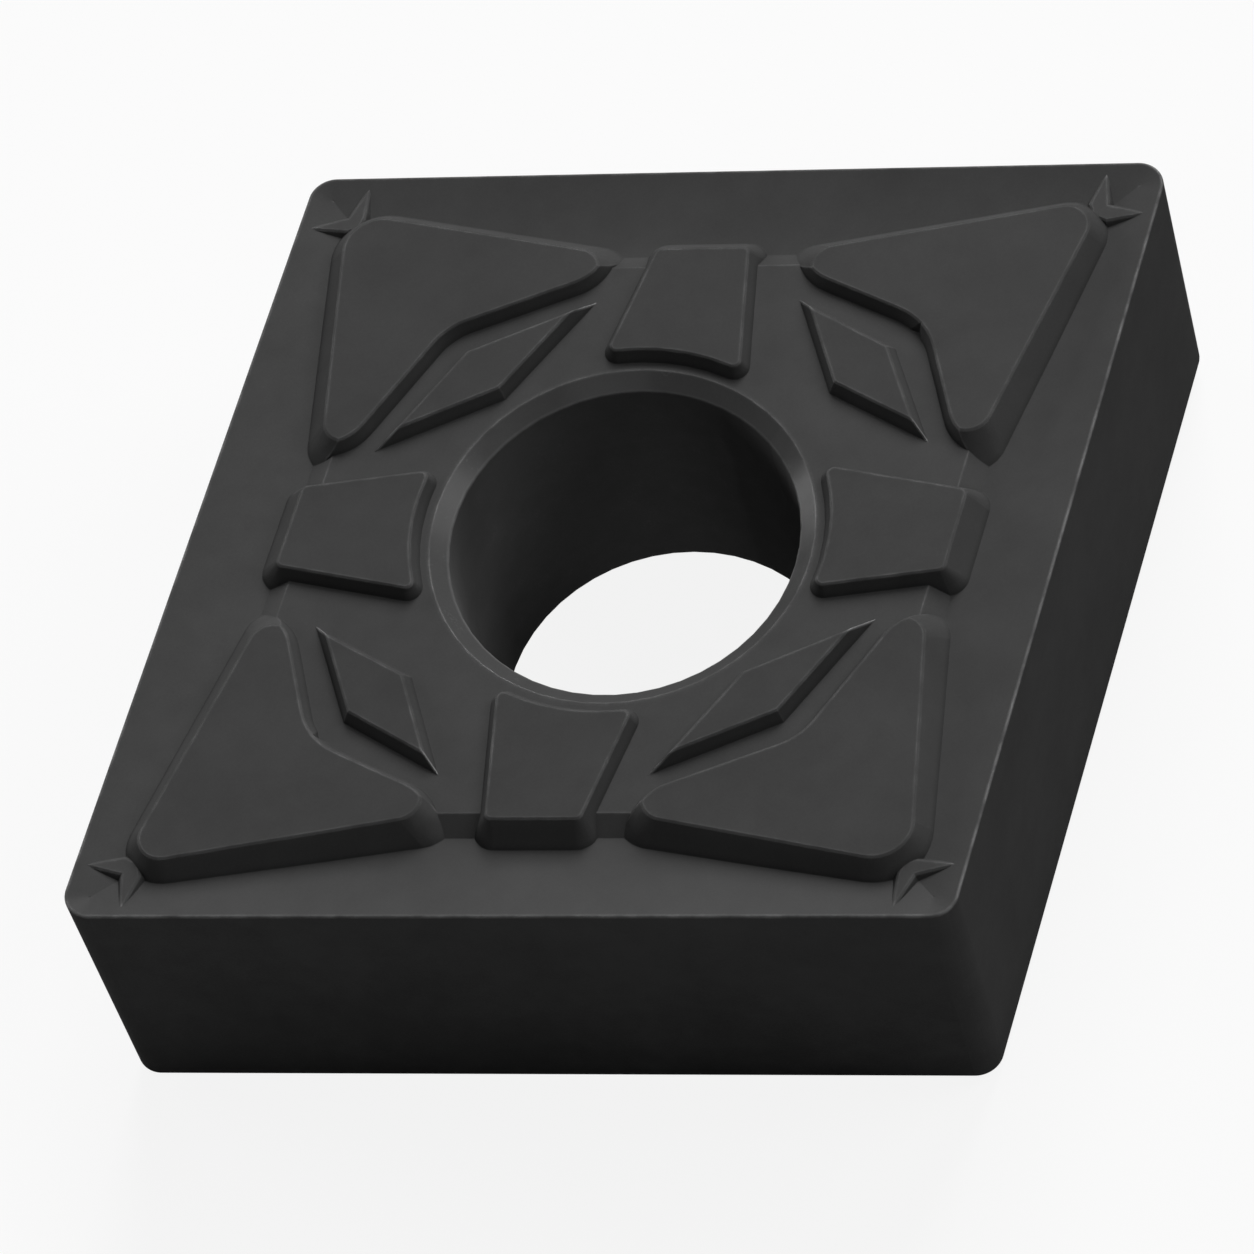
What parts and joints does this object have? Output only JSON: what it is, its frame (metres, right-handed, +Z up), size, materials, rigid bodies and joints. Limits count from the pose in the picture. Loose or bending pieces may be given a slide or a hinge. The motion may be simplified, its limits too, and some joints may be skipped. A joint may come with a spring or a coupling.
{
  "type": "carbide insert",
  "caption": "Black-coated double-sided rhombic turning insert with a clamping bore and a chip breaker of raised islands, pads, diamonds and corner darts.",
  "frame": {"origin": "on the bore axis, in the plane of the lower seat", "axes": "+X along the long diagonal, towards an acute corner; +Y along the short diagonal; +Z up along the bore axis, towards the countersunk side"},
  "size_m": [0.0194, 0.0164, 0.005],
  "materials": {
    "coated_carbide": "satin black coating on cemented carbide"
  },
  "bodies": {
    "root": {"insert": "coated_carbide"}
  },
  "joints": []
}
